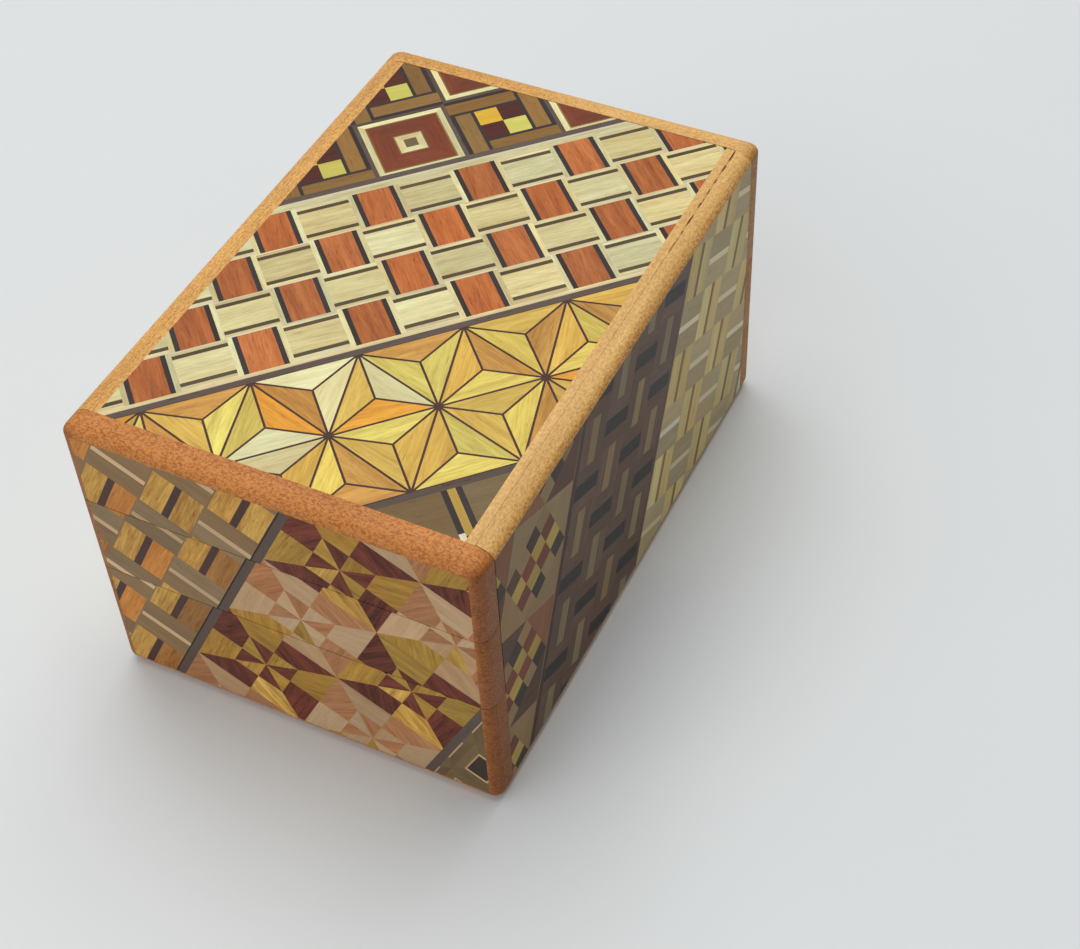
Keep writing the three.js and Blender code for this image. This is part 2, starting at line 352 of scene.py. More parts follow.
def bare_material(name, colour, lengthwise, pale, end_grain_and_shade):
    """Rounded bare wood, sealed and sanded down: fine grains and specks, drawn out along its length.

    pale is how far the round of the edge is lightened to the highlight colour: a painted highlight. The
    last argument is how much darker the cut ends of a crosswise strip are: partly their end grain, partly
    painted shade on the box's upright corners.
    """
    paint = Paint(name)
    place = object_point(paint)
    settings = finish_settings()
    stretch = [0.6 if axis == lengthwise else 1.0 for axis in range(3)]
    grains = paint.noise(paint.point(*(p * s * 2.9 for p, s in zip(place, stretch))), 2.0, 0.65)
    specks = paint.noise(paint.point(*(p * s * 4.6 + 40.0 for p, s in zip(place, stretch))), 1.0)
    drift = [0.03 if axis == lengthwise else 0.4 for axis in range(3)]
    broad = paint.noise(paint.point(*(p * s for p, s in zip(place, drift))), 3.0)
    mask = paint.between(grains, 0.43, 0.62) * 0.5 + paint.between(specks, 0.48, 0.62) * 0.4
    away = paint.maths("ABSOLUTE", place[2] - HEIGHT / 2)
    round_low, round_high = 1.8, 0.1  # the round of an edge, counted from its flat
    edge_round = paint.between(away, HEIGHT / 2 - round_low, HEIGHT / 2 - round_high)
    # The cut ends of a strip are darker, partly for their end grain and partly as painted shade on the
    # box's upright corners.
    cut_in, cut_out = 3.2, 0.8  # the end grain of a strip, counted from the side
    end = paint.between(paint.maths("ABSOLUTE", place[1]), SIDE_Y - cut_in, SIDE_Y - cut_out) * (1 - edge_round)
    shade = (1.08 + (broad - 0.5) * 0.7 - (grains - 0.5) * 0.4) * (1 - end * end_grain_and_shade)
    # Painted highlight: the round of the edge loses specks and is blended to the highlight colour, more on
    # the right (-Y) side than on the left.
    speckled = mask * (0.95 - edge_round * pale * 0.3)
    tone = paint.blend(speckled, with_alpha(colour), with_alpha(settings.speck_wood))
    left = paint.between(place[1], -10.0, 10.0)
    tone = paint.blend(edge_round * pale * (1 - left * 0.7), tone, with_alpha(settings.edge_highlight_wood))
    if lengthwise == 0:
        shade = shade * (1 - opened_seam(paint, place, away) * 0.9)
    return paint.surface(paint.shaded(tone, shade, 0.25), 0.42 + grains * 0.2,
                         paint.bump(grains - mask * 0.5, 0.03 * MM, 0.4), coat=0.03, specular=0.25)


def planed_material(name, colour, lengthwise):
    """Planed wood without varnish: growth rings seen from the side, and fine pores."""
    paint = Paint(name)
    place = object_point(paint)
    slow = [0.015 if axis == lengthwise else 0.22 for axis in range(3)]
    quick = [0.10 if axis == lengthwise else 3.0 for axis in range(3)]
    rings = paint.noise(paint.point(*(p * s for p, s in zip(place, slow))), 2.0)
    bands = paint.maths("SINE", rings * 60.0) * 0.5 + 0.5
    fine = paint.noise(paint.point(*(p * s for p, s in zip(place, quick))), 3.0)
    shade = 0.93 + bands * 0.08 + (fine - 0.5) * 0.35 + (rings - 0.5) * 0.3
    return paint.surface(paint.shaded(tuple(colour), shade, 0.3), 0.55 + fine * 0.2,
                         paint.bump(fine, 0.04 * MM, 0.35), coat=0.0)


def floor_material():
    paint = Paint("pale_floor")
    place = object_point(paint)
    cloud = paint.noise(paint.point(*(p * 0.02 for p in place)), 3.0)
    weave = paint.noise(paint.point(*(p * 1.5 for p in place)), 2.0)
    shade = 0.99 + (cloud - 0.5) * 0.02
    return paint.surface(paint.shaded(linear("#e4e9ec"), shade, 0.0), 0.62,
                         paint.bump(weave, 0.02 * MM, 0.1), specular=0.35)


# ---- meshes ----

def new_piece(name, vertices, faces, material, node):
    """Puts millimetre vertices and their faces into a mesh that takes a CAD node's place in the frame."""
    mesh = bpy.data.meshes.new(name)
    mesh.from_pydata((vertices * MM).tolist(), [], faces)
    mesh.materials.append(material)
    mesh.shade_smooth()
    mesh.set_sharp_from_angle(angle=math.radians(32))
    piece = bpy.data.objects.new(name, mesh)
    bpy.context.scene.collection.objects.link(piece)
    if mesh.validate():
        raise RuntimeError(f"{name} has broken faces")
    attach(piece, BODY_OF[node])
    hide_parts(node)
    return piece


def lofted(rings):
    """Rings of equal size, each a closed loop of points, joined in order by quads, with flat ends."""
    rings = np.asarray(rings)
    count, size, _ = rings.shape
    ring, point = np.meshgrid(np.arange(count - 1), np.arange(size), indexing="ij")
    after = (point + 1) % size
    walls = np.stack([ring * size + point, ring * size + after,
                      (ring + 1) * size + after, (ring + 1) * size + point], axis=-1).reshape(-1, 4)
    last = (count - 1) * size
    ends = [list(range(size))[::-1], list(range(last, last + size))]
    return rings.reshape(-1, 3), walls.tolist() + ends


def as_it_is(vertices):
    return vertices


def turned_about_y(vertices):
    """A half turn about the middle Y line, which takes the front and top to the back and bottom."""
    return vertices * [-1, 1, -1] + [0, 0, HEIGHT]


def turned_about_z(vertices):
    return vertices * [-1, -1, 1]


def arc(centre, radius, start, end, steps):
    """Points on an ellipse from one angle to another. radius is a number, or one for each coordinate."""
    angles = np.linspace(start, end, steps + 1)
    return np.array(centre) + np.stack([np.cos(angles), np.sin(angles)], axis=-1) * radius


def ease_depths(ease, steps=3):
    """The depth below a seam face, and the setback there, of points round a small quarter circle."""
    angles = np.linspace(0, math.pi / 2, steps + 1)
    return ease * (1 - np.cos(angles)), ease * (1 - np.sin(angles))


def inset(outline, distance):
    """A closed anticlockwise outline moved in: each corner goes along the mean of its edges' normals."""
    forward = np.roll(outline, -1, axis=-2) - outline
    forward = forward / np.linalg.norm(forward, axis=-1, keepdims=True)
    normal = np.stack([-forward[..., 1], forward[..., 0]], axis=-1)
    before = np.roll(normal, 1, axis=-2)
    mean = (normal + before) / (1 + np.sum(normal * before, axis=-1, keepdims=True))
    return outline + mean * distance


def eased(points, sharp, ease, steps=2):
    """A closed outline whose sharp corners are each cut off by a small curve.

    A sharp corner c becomes (1-t)^2 a + 2t(1-t) c + t^2 b, where a and b lie on its two edges.
    """
    sharp = np.asarray(sharp)[:, None]
    back, ahead = np.roll(points, 1, axis=0) - points, np.roll(points, -1, axis=0) - points
    a = points + back / np.linalg.norm(back, axis=1, keepdims=True) * ease * sharp
    b = points + ahead / np.linalg.norm(ahead, axis=1, keepdims=True) * ease * sharp
    t = np.linspace(0, 1, steps + 1)[None, :, None]
    curve = (1 - t) ** 2 * a[:, None] + 2 * t * (1 - t) * points[:, None] + t ** 2 * b[:, None]
    return curve[sharp | (np.arange(steps + 1) == 0)]


def board_along_x(section, x0, x1, ease):
    """A (y, z) section run along X. Near each end it shrinks round a small quarter circle."""
    depth, setback = ease_depths(ease)
    stations = np.concatenate([x0 + depth, (x1 - depth)[::-1]])
    shrink = np.concatenate([setback, setback[::-1]])
    rings = [np.column_stack([np.full(len(section), x), inset(section, s)])
             for x, s in zip(stations, shrink)]
    return lofted(rings)


def edge_curve(inner_y, steps):
    """The rounded lower edge as (y, z) points from inner_y out to the side: a quarter ellipse that
    reaches EDGE_INSET in over the bottom and EDGE_DROP up the side."""
    middle = SIDE_Y - EDGE_INSET
    start = -math.acos((inner_y - middle) / EDGE_INSET)
    return arc([middle, EDGE_DROP], [EDGE_INSET, EDGE_DROP], start, 0.0, steps)


def side_section(ease, steps):
    """The left side board's (y, z) section: two rounded edges, the skin's pocket and two grooves."""
    inner, pocket = SIDE_LOW[1], SIDE_Y - SKIN_THICK
    low = [*edge_curve(inner, steps), [pocket, EDGE_DROP]]
    outer = [*low, [pocket, HEIGHT / 2], *([y, HEIGHT - z] for y, z in low[::-1])]
    groove_y, groove_low, groove_high = RUNNER_HIGH[1] + FIT, RUNNER_LOW[2] - FIT, RUNNER_HIGH[2] + FIT
    upper = [[inner, groove_high], [groove_y, groove_high], [groove_y, groove_low], [inner, groove_low]]
    lower = [[y, HEIGHT - z] for y, z in upper[::-1]]
    points = np.array([*outer, *upper, *lower])
    place = np.arange(len(points))
    return eased(points, (place == 0) | (place >= len(outer) - 1), ease)


def plate_section(ease, steps):
    """The lid plate's (y, z) section: the inner ends of both rounded edges, and the skin's pocket."""
    middle, reach = SIDE_Y - EDGE_INSET, PLATE_HIGH[1] + FIT - SEAM
    rim = edge_curve(middle, steps) * [1, -1] + [0, HEIGHT]
    rim = rim[rim[:, 0] < reach - 2 * ease]
    rim_z = HEIGHT - EDGE_DROP * (1 - math.sqrt(1 - ((reach - middle) / EDGE_INSET) ** 2))
    half = np.array([[reach, PLATE_LOW[2]], [reach, rim_z], *rim[::-1], [middle, HEIGHT - SKIN_THICK]])
    points = np.concatenate([half, half[::-1] * [-1, 1]])
    place = np.arange(len(points))
    return eased(points, (place < 2) | (place >= len(points) - 2), ease)


def strip_ring(z, rim, pocket, shrink, inner_x, ease, steps):
    """An end strip's outline at height z: square to the box inside, with rounded outer corners.

    rim is how far the rounded edge has come in at this height, pocket the depth of the skin's recess,
    and shrink the setback of the whole outline near a seam. The corner radius falls with the rim.
    """
    face = -END_X + rim + shrink
    half = SIDE_Y - rim - shrink
    radius = CORNER_RADIUS * (1 - rim / EDGE_INSET) + LEAST_RADIUS
    skin = min(SIDE_Y - CORNER_RADIUS, half - radius)
    inner = inner_x - shrink
    small = min(ease, (inner - face) / 3)
    right = [
        *arc([inner - small, -half + small], small, 0.0, -math.pi / 2, 3),
        *arc([face + radius, -half + radius], radius, -math.pi / 2, -math.pi, steps),
        [face, -skin], [face + pocket, -skin], [face + pocket, 0.0],
    ]
    outline = np.array([*right, *([x, -y] for x, y in reversed(right[:-1]))])
    return np.column_stack([outline, np.full(len(outline), z)])[::-1]


def strip_board(low, high, inner_x, rounded, ease, steps):
    """An end strip stacked from outlines. A rounded one follows the quarter ellipse of the box's edge: at
    angle a from the upright face it has come in by EDGE_INSET (1 - cos a) and risen by EDGE_DROP sin a."""
    depth, setback = ease_depths(ease)
    rows = [(low + d, 0.0, SKIN_THICK, s) for d, s in zip(depth, setback)]
    if rounded:
        rows.append((high - EDGE_DROP, 0.0, SKIN_THICK, 0.0))
        turn = np.linspace(0, math.acos(RIM_LEFT / EDGE_INSET), 2 * steps + 1)
        rows += [(high - EDGE_DROP * (1 - math.sin(a)), EDGE_INSET * (1 - math.cos(a)), 0.0, 0.0)
                 for a in turn]
    else:
        rows += [(high - d, 0.0, SKIN_THICK, s) for d, s in zip(depth[::-1], setback[::-1])]
    return lofted([strip_ring(*row, inner_x, ease, steps) for row in rows])


def block_mesh(low, high):
    """An upright block as one loft from its lower to its upper face."""
    x, y = [low[0], high[0], high[0], low[0]], [low[1], low[1], high[1], high[1]]
    return lofted([np.column_stack([x, y, np.full(4, z)]) for z in (low[2], high[2])])


def cut_blocks(board, blocks):
    """A board's vertices and faces with upright blocks cut out of it."""
    def loose(points, faces):
        mesh = bpy.data.meshes.new("cutting")
        mesh.from_pydata(points.tolist(), [], faces)
        thing = bpy.data.objects.new("cutting", mesh)
        bpy.context.scene.collection.objects.link(thing)
        return thing

    things = [loose(*board), *(loose(*block_mesh(low, high)) for low, high in blocks)]
    for cutter in things[1:]:
        modifier = things[0].modifiers.new("slot", "BOOLEAN")
        modifier.operation = "DIFFERENCE"
        modifier.solver = "EXACT"
        modifier.object = cutter
    bpy.context.view_layer.update()
    result = things[0].evaluated_get(bpy.context.evaluated_depsgraph_get()).to_mesh()
    points = np.array([vertex.co[:] for vertex in result.vertices])
    faces = [list(face.vertices) for face in result.polygons]
    for mesh in [thing.data for thing in things]:
        bpy.data.meshes.remove(mesh)
    return points, faces


# ---- marquetry tiles ----

ALONG_A, ALONG_B = 0.0, math.pi / 2  # the two grain angles
SQUARE = np.array([[-1, -1], [1, -1], [1, 1], [-1, 1]])
WINDOW_LOW, WINDOW_HIGH = np.array([-40.0, -70.0]), np.array([130.0, 110.0])  # holds any slanted face
FAR = 150.0  # past the edge of every face


class Tiles:
    """Flat convex tiles, as arrays with one row for each.

    corners are (tile, corner, 2), padded by repeating the last corner. wood is the wood's number, grain
    the angle of the grain, and stick the number of the stick that it was sawn from, for its own figure.
    """

    def __init__(self, corners, wood, grain, stick=None):
        self.corners = np.asarray(corners, float)
        self.wood = np.asarray(wood, int)
        self.grain = np.asarray(grain, float)
        self.stick = np.arange(len(self.wood)) if stick is None else stick

    def cut(self, normal, reach):
        """The part of each tile where normal . p <= reach.

        Corners on that side are kept, and each edge that crosses the line gives the point
        p + (q - p) d / (d - e), where d and e are its ends' distances from the line.
        """
        p = self.corners
        count, size, _ = p.shape
        d = p @ np.asarray(normal, float) - reach
        q, e = np.roll(p, -1, axis=1), np.roll(d, -1, axis=1)
        inside = d <= 0
        crossing = inside != (e <= 0)
        share = np.where(crossing, d / np.where(crossing, d - e, 1.0), 0.0)
        found = np.stack([p, p + (q - p) * share[..., None]], axis=2).reshape(count, 2 * size, 2)
        kept = np.stack([inside, crossing], axis=2).reshape(count, 2 * size)
        order = np.argsort(~kept, axis=1, kind="stable")[:, :size + 1]
        found = np.take_along_axis(found, order[..., None], axis=1)
        last = np.maximum(kept.sum(axis=1) - 1, 0)
        index = np.minimum(np.arange(size + 1), last[:, None])
        found = np.take_along_axis(found, index[..., None], axis=1)
        alive = kept.sum(axis=1) >= 3
        return Tiles(found[alive], self.wood[alive], self.grain[alive], self.stick[alive])

    def within(self, low, high):
        """Cut to the rectangle between two corners. None leaves a side open."""
        tiles = self
        for axis in (0, 1):
            unit = np.eye(2)[axis]
            if low[axis] is not None:
                tiles = tiles.cut(-unit, -low[axis])
            if high[axis] is not None:
                tiles = tiles.cut(unit, high[axis])
        return tiles

    def turned(self, angle):
        """The tiles turned about the origin."""
        c, s = math.cos(angle), math.sin(angle)
        return Tiles(self.corners @ np.array([[c, s], [-s, c]]), self.wood, self.grain + angle, self.stick)

    def moved(self, shift):
        return Tiles(self.corners + shift, self.wood, self.grain, self.stick)

    def scaled(self, factors):
        return Tiles(self.corners * factors, self.wood, self.grain, self.stick)


def joined(groups):
    """Several lots of tiles as one, with no two lots sharing a stick."""
    groups = [group for group in groups if len(group.wood)]
    size = max(group.corners.shape[1] for group in groups)
    corners, sticks, used = [], [], 0
    for group in groups:
        index = np.minimum(np.arange(size), group.corners.shape[1] - 1)
        corners.append(group.corners[:, index])
        sticks.append(group.stick + used)
        used += group.stick.max() + 1
    return Tiles(np.concatenate(corners), np.concatenate([g.wood for g in groups]),
                 np.concatenate([g.grain for g in groups]), np.concatenate(sticks))


def wood_numbers(names):
    return [WOOD_NAMES.index(name) for name in names]


def heading(ways):
    """The angle of each direction."""
    return np.arctan2(ways[..., 1], ways[..., 0])


def rectangles(rows):
    """Tiles from rows of (a0, b0, a1, b1, wood, grain angle)."""
    a0, b0, a1, b1 = np.array([row[:4] for row in rows], float).T
    corners = np.stack([a0, b0, a1, b0, a1, b1, a0, b1], axis=-1).reshape(-1, 4, 2)
    return Tiles(corners, wood_numbers(row[4] for row in rows), [row[5] for row in rows])


def striped(size, layers, lengthwise):
    """A cell sawn from a stack: layers of (thickness, wood) side by side, all lengthwise.

    The thicknesses are scaled to fill the cell.
    """
    half = np.array(size) / 2
    across = 1 if lengthwise == ALONG_A else 0
    thick = np.array([layer[0] for layer in layers])
    edges = np.concatenate([[0], np.cumsum(thick)]) / thick.sum() * size[across] - half[across]
    rows = []
    for low, high, (_, wood) in zip(edges[:-1], edges[1:], layers):
        corners = (-half[0], low, half[0], high) if across == 1 else (low, -half[1], high, half[1])
        rows.append((*corners, wood, lengthwise))
    return rectangles(rows)


def repeated(unit, steps, origin):
    """A unit of tiles copied over a lattice, wherever a copy can reach the window that holds any face."""
    steps, origin = np.array(steps, float), np.array(origin, float)
    lengths = np.linalg.norm(steps, axis=1)
    middle = (WINDOW_LOW + WINDOW_HIGH) / 2
    reach = np.linalg.norm(WINDOW_HIGH - WINDOW_LOW) / 2 + lengths.max() * 1.5
    most = math.ceil((reach + np.linalg.norm(middle - origin)) / lengths.min()) * 2
    i, j = np.meshgrid(np.arange(-most, most + 1), np.arange(-most, most + 1), indexing="ij")
    places = origin + i.reshape(-1, 1) * steps[0] + j.reshape(-1, 1) * steps[1]
    places = places[np.linalg.norm(places - middle, axis=1) < reach]
    count = len(places)
    corners = (unit.corners[None] + places[:, None, None]).reshape(-1, *unit.corners.shape[1:])
    sticks = unit.stick[None] + (unit.stick.max() + 1) * np.arange(count)[:, None]
    return Tiles(corners, np.tile(unit.wood, count), np.tile(unit.grain, count), sticks.reshape(-1))


def checkered(first, second, size, origin):
    """Two cells of the same size set out as a checkerboard. First lies on the origin."""
    width, height = size
    unit = joined([first, second.moved([width, 0])])
    return repeated(unit, [[2 * width, 0], [width, height]], origin)


def varied(tiles, wood, choices, chances, seed):
    """The tiles of one wood redrawn among several, one draw for each stick."""
    draw = np.random.default_rng(seed)
    drawn = draw.choice(wood_numbers(choices), tiles.stick.max() + 1, p=chances)
    tiles.wood = np.where(tiles.wood == WOOD_NAMES.index(wood), drawn[tiles.stick], tiles.wood)
    return tiles


def framed_square(size, layers, centre_wood):
    """Nested squares: each layer of (thickness, wood) is a mitred frame, and the centre is one square."""
    rows, woods = [], []
    half = size / 2
    for thick, wood in layers:
        outer, inner = SQUARE * half, SQUARE * (half - thick)
        rows += [[outer[k - 4], outer[k - 3], inner[k - 3], inner[k - 4]] for k in range(4)]
        woods += [wood] * 4
        half -= thick
    grains = [ALONG_A, ALONG_B] * (2 * len(layers)) + [ALONG_A]
    return Tiles([*rows, SQUARE * half], wood_numbers([*woods, centre_wood]), grains)


def check_table(table, half):
    """A square block of checks, from half before the middle to half past it, woods row by row."""
    side = 2 * half / len(table)
    rows = []
    for r, line in enumerate(table):
        for c, wood in enumerate(line):
            a, b = -half + c * side, -half + r * side
            rows.append((a, b, a + side, b + side, wood, ALONG_B))
    return rectangles(rows)


def check_block(size, ring_layers, table):
    """A square block of checks inside a ring of four bars, each of which runs past the next one's end."""
    total = sum(thick for thick, _ in ring_layers)
    half = size / 2 - total
    bars, low = [], half
    for thick, wood in ring_layers:
        bars.append((-half, low, half + total, low + thick, wood, ALONG_A))
        low += thick
    bars = rectangles(bars)
    return joined([check_table(table, half), *(bars.turned(k * math.pi / 2) for k in range(4))])


def lined(corners, width):
    """Each polygon set in from its edges by width, and the four-cornered slips between the two."""
    inner = inset(corners, width)
    after = np.roll(corners, -1, axis=1)
    inner_after = np.roll(inner, -1, axis=1)
    slips = np.stack([corners, after, inner_after, inner], axis=2).reshape(-1, 4, 2)
    return inner, slips


def hemp_leaf(origin, woods, chances, seed):
    """Hemp-leaf stars: each lattice triangle is parted into three tiles that meet at its middle.

    Thin slips of plum lie along all edges. The grain follows each tile's edge on the lattice.
    """
    steps, line = np.array([[0, 15.95], [14.27, 8.2]]), 0.36
    p, q = steps
    triangles = np.array([[p * 0, p, q], [p, p + q, q]])
    middle = triangles.mean(axis=1)
    sides = [(triangles[:, k], triangles[:, (k + 1) % 3]) for k in range(3)]
    parts = np.concatenate([np.stack([start, end, middle], axis=1) for start, end in sides])
    area = np.cross(parts[:, 1] - parts[:, 0], parts[:, 2] - parts[:, 0])
    parts = np.where(area[:, None, None] < 0, parts[:, ::-1], parts)
    inner, slips = lined(parts, line / 2)
    grain = heading(np.concatenate([end - start for start, end in sides]))
    leaf = Tiles(inner, np.zeros(len(inner)), grain)
    leaves = repeated(leaf, steps, origin)
    draw = np.random.default_rng(seed)
    leaves.wood = draw.choice(wood_numbers(woods), len(leaves.wood), p=chances)
    slip = Tiles(slips, wood_numbers(["plum"] * len(slips)), heading(slips[:, 1] - slips[:, 0]))
    return joined([leaves, repeated(slip, steps, origin)])


def kaleidoscope_cell(size, dark, light):
    """A square star: eight triangles round the centre, and eight pieces out to the cell's edge.

    Woods alternate round both rings, and each inner triangle takes the other wood than its outer piece.
    """
    inner_half = 4.4
    turn = np.array([[-1, -1], [0, -1], [1, -1], [1, 0], [1, 1], [0, 1], [-1, 1], [-1, 0]])
    outer, inner = turn * np.array(size) / 2, turn * inner_half
    rows, woods, grains = [], [], []
    for k in range(8):
        n = (k + 1) % 8
        rows += [[outer[k], outer[n], inner[n], inner[k]], [inner[k], inner[n], [0, 0], [0, 0]]]
        pair = (dark, light) if k % 2 else (light, dark)
        woods += [choice[k // 2 % len(choice)] for choice in pair]
        grains += [heading(outer[n] - outer[k]) + 0.5 * (k % 3), heading(inner[k])]
    return Tiles(rows, wood_numbers(woods), grains)


def banded(slant, bands):
    """Diagonal bands side by side, turned by the slant in degrees. Each runs from the last one's end to
    its own, and is a plain strip where it only names a wood. None is an end past the face's edge."""
    parts, start = [], None
    for end, band in bands:
        if isinstance(band, str):
            band = rectangles([(start, -FAR, end or FAR, FAR, band, ALONG_B)])
        parts.append(band.within((start, None), (end, None)))
        start = end
    return joined(parts).turned(math.radians(slant))


# ---- what each face shows, in (a, b) coordinates: a runs across the diagonal bands, b along them ----

def nested_and_checks(origin):
    """Nested squares of red cedar between checks of yellow and rosewood, each in a ring of oak bars."""
    pitch = 15.6
    nested = framed_square(pitch, [
        (0.72, "divider_grey"), (0.95, "spindle"), (0.28, "khaki_oak"), (3.4, "red_cedar"),
        (0.25, "khaki_oak"), (1.15, "spindle")], "olive_oak")
    ring = [(0.6, "bog_oak"), (2.65, "khaki_oak"), (0.75, "bog_oak")]
    checks = check_block(pitch, ring, [["rosewood", "pale_barberry"], ["barberry", "rosewood"]])
    return checkered(nested, checks, [pitch, pitch], origin)


def outlined_basket(origin, warp_wood, weft_wood):
    """A basket weave whose strands have a dark line down each side and a pale rim outside it."""
    size = [8.34, 8.34]
    warp = [(0.3, "holly"), (0.5, weft_wood), (0.78, "walnut_line"), (5.15, weft_wood),
            (0.78, "walnut_line"), (0.5, weft_wood), (0.3, "holly")]
    weft = [(0.8, weft_wood), (0.78, "bog_oak"), (5.2, warp_wood), (0.78, "bog_oak"), (0.8, weft_wood)]
    return checkered(striped(size, weft, ALONG_A), striped(size, warp, ALONG_B), size, origin)


def block_basket(size, origin, first, second, bar, ground, stripe):
    """A basket weave of paired bricks round a thin bar, and of plain blocks with a pale stripe."""
    warp = [(0.25, ground), (3.7, first), (1.2, bar), (3.7, second), (0.25, ground)]
    weft = [(3.5, ground), (0.95, stripe), (3.5, ground)]
    return checkered(striped(size, warp, ALONG_B), striped(size, weft, ALONG_A), size, origin)


def red_block_basket(size, origin):
    return block_basket(size, origin, "straw", "tangerine", "plum", "ash_brown", "birch")


def pale_block_basket(origin, second):
    return block_basket([8.9, 9.0], origin, "olive_yellow", second, "umber", "dove", "ivory")


def bar_basket(origin):
    """A basket weave of taupe cells with one bar down the middle, black or pale."""
    size = [8.42, 7.6]
    warp = [(2.7, "taupe"), (2.4, "willow"), (2.7, "taupe")]
    weft = [(2.6, "taupe"), (2.6, "ebony"), (2.6, "taupe")]
    return checkered(striped(size, weft, ALONG_A), striped(size, warp, ALONG_B), size, origin)


def diamond_checks(size, ground, corner, table):
    """A cell holding a block of checks that stands on its corner and reaches all four edges."""
    half = np.array(size) / 2
    block = check_table(table, half[0] / math.sqrt(2)).turned(math.pi / 4).scaled([1, size[1] / size[0]])
    tips = np.array([[0, -1], [1, 0], [0, 1], [-1, 0]]) * half
    rows = [[SQUARE[k] * half, tips[k], tips[k - 1], tips[k - 1]] for k in range(4)]
    woods = wood_numbers([corner, ground, corner, ground])
    return joined([block, Tiles(rows, woods, [ALONG_A, ALONG_B] * 2)])


def lid_tiles():
    stars = hemp_leaf([72.0, 10.4], ["sumac", "wax_tree", "mulberry", "lacquer_tree", "spindle"],
                      [0.24, 0.32, 0.17, 0.12, 0.15], 24642)
    start, line, tip, row = 101.8, 110.0, 110.6, 21.6
    corner = rectangles([
        (start, -FAR, FAR, row - 1.5, "olive_oak", ALONG_B),
        (start, row - 1.5, line, row - 0.6, "bog_oak", ALONG_A),
        (start, row - 0.6, tip, row + 0.6, "moss", ALONG_A),
        (start, row + 0.6, line, row + 1.5, "bog_oak", ALONG_A),
        (start, row + 1.5, FAR, FAR, "olive_oak", ALONG_B),
        (line, row - 1.5, FAR, row - 0.6, "holly", ALONG_A),
        (line, row + 0.6, FAR, row + 1.5, "holly", ALONG_A),
        (tip, row - 0.6, FAR, row + 0.6, "bog_oak", ALONG_A),
    ])
    return banded(45.0, [
        (34.0, nested_and_checks([27.4, 5.2])),
        (35.2, "divider_grey"), (35.6, "holly"), (36.79, "magnolia"),
        (70.15, outlined_basket([49.3, -10.68], "padauk", "magnolia")),
        (70.6, "magnolia"), (70.9, "holly"), (72.05, "divider_grey"),
        (100.6, stars), (start, "divider_grey"), (None, corner),
    ])


def base_tiles():
    """The underside: stars in browns, an olive basket weave and checks."""
    stars = hemp_leaf([2.0, 6.0], ["cherry", "beech", "mustard", "warm_brown"], [0.35, 0.3, 0.2, 0.15], 8)
    return banded(45.0, [
        (33.0, stars), (34.3, "purple_grey"),
        (78.0, red_block_basket([9.1, 8.7], [52.0, 2.0])), (79.3, "purple_grey"),
        (None, nested_and_checks([96.0, 3.0])),
    ])


def front_tiles():
    basket = red_block_basket([9.15, 8.72], [19.65, -0.4])
    basket = varied(basket, "tangerine", ["tangerine", "straw", "honey"], [0.55, 0.25, 0.2], 4)
    size = [19.55, 18.5]
    dark = kaleidoscope_cell(size, ["dark_rosewood"], ["mustard", "mustard", "straw"])
    light = kaleidoscope_cell(size, ["cherry", "cherry", "mustard"], ["beech"])
    pane = framed_square(8.0, [(1.6, "olive_oak"), (0.35, "beech")], "cocoa").scaled([0.85, 1.25])
    return banded(27.0, [
        (33.2, basket), (33.45, "black_line"), (34.8, "purple_grey"),
        (73.1, checkered(dark, light, size, [44.55, -11.3])), (74.5, "purple_grey"),
        (None, repeated(pane, [[6.8, 0], [0, 10.0]], [79.5, 24.0])),
    ])


def back_tiles():
    """The back end: checks, an outlined basket weave and stars."""
    stars = hemp_leaf([58.0, 4.0], ["cherry", "beech", "tangerine", "warm_brown"],
                      [0.4, 0.25, 0.2, 0.15], 3)
    return banded(27.0, [
        (19.0, nested_and_checks([12.0, 3.0])), (20.3, "purple_grey"),
        (55.5, outlined_basket([31.0, 2.0], "tangerine", "beech")), (56.8, "purple_grey"),
        (None, stars),
    ])


def right_tiles():
    table = [["maple", "russet", "moss", "cocoa"], ["cocoa", "moss", "russet", "maple"],
             ["maple", "russet", "moss", "cocoa"], ["smoked_oak", "moss", "russet", "maple"]]
    size = [19.4, 18.5]
    pale = diamond_checks(size, "maple", "maple", table)
    brown = diamond_checks(size, "warm_brown", "smoked_oak", table)
    bricks = pale_block_basket([70.5, -22.7], "olive_yellow")
    return banded(23.6, [
        (29.9, checkered(pale, brown, size, [20.0, 7.1])), (31.1, "plum"),
        (64.8, bar_basket([35.4, 1.2])), (66.0, "taupe"),
        (104.5, bricks), (105.6, "umber"), (108.6, "ivory"), (None, "taupe"),
    ])


def left_tiles():
    """The left side: the right side's bands in another order, with stars between them."""
    stars = hemp_leaf([38.0, 4.0], ["mustard", "straw", "beech", "cherry"], [0.3, 0.3, 0.2, 0.2], 12)
    bricks = pale_block_basket([74.0, -2.0], "straw")
    return banded(23.6, [
        (35.5, bar_basket([4.0, 1.2])), (36.8, "plum"),
        (65.3, stars), (66.6, "plum"),
        (None, bricks),
    ])


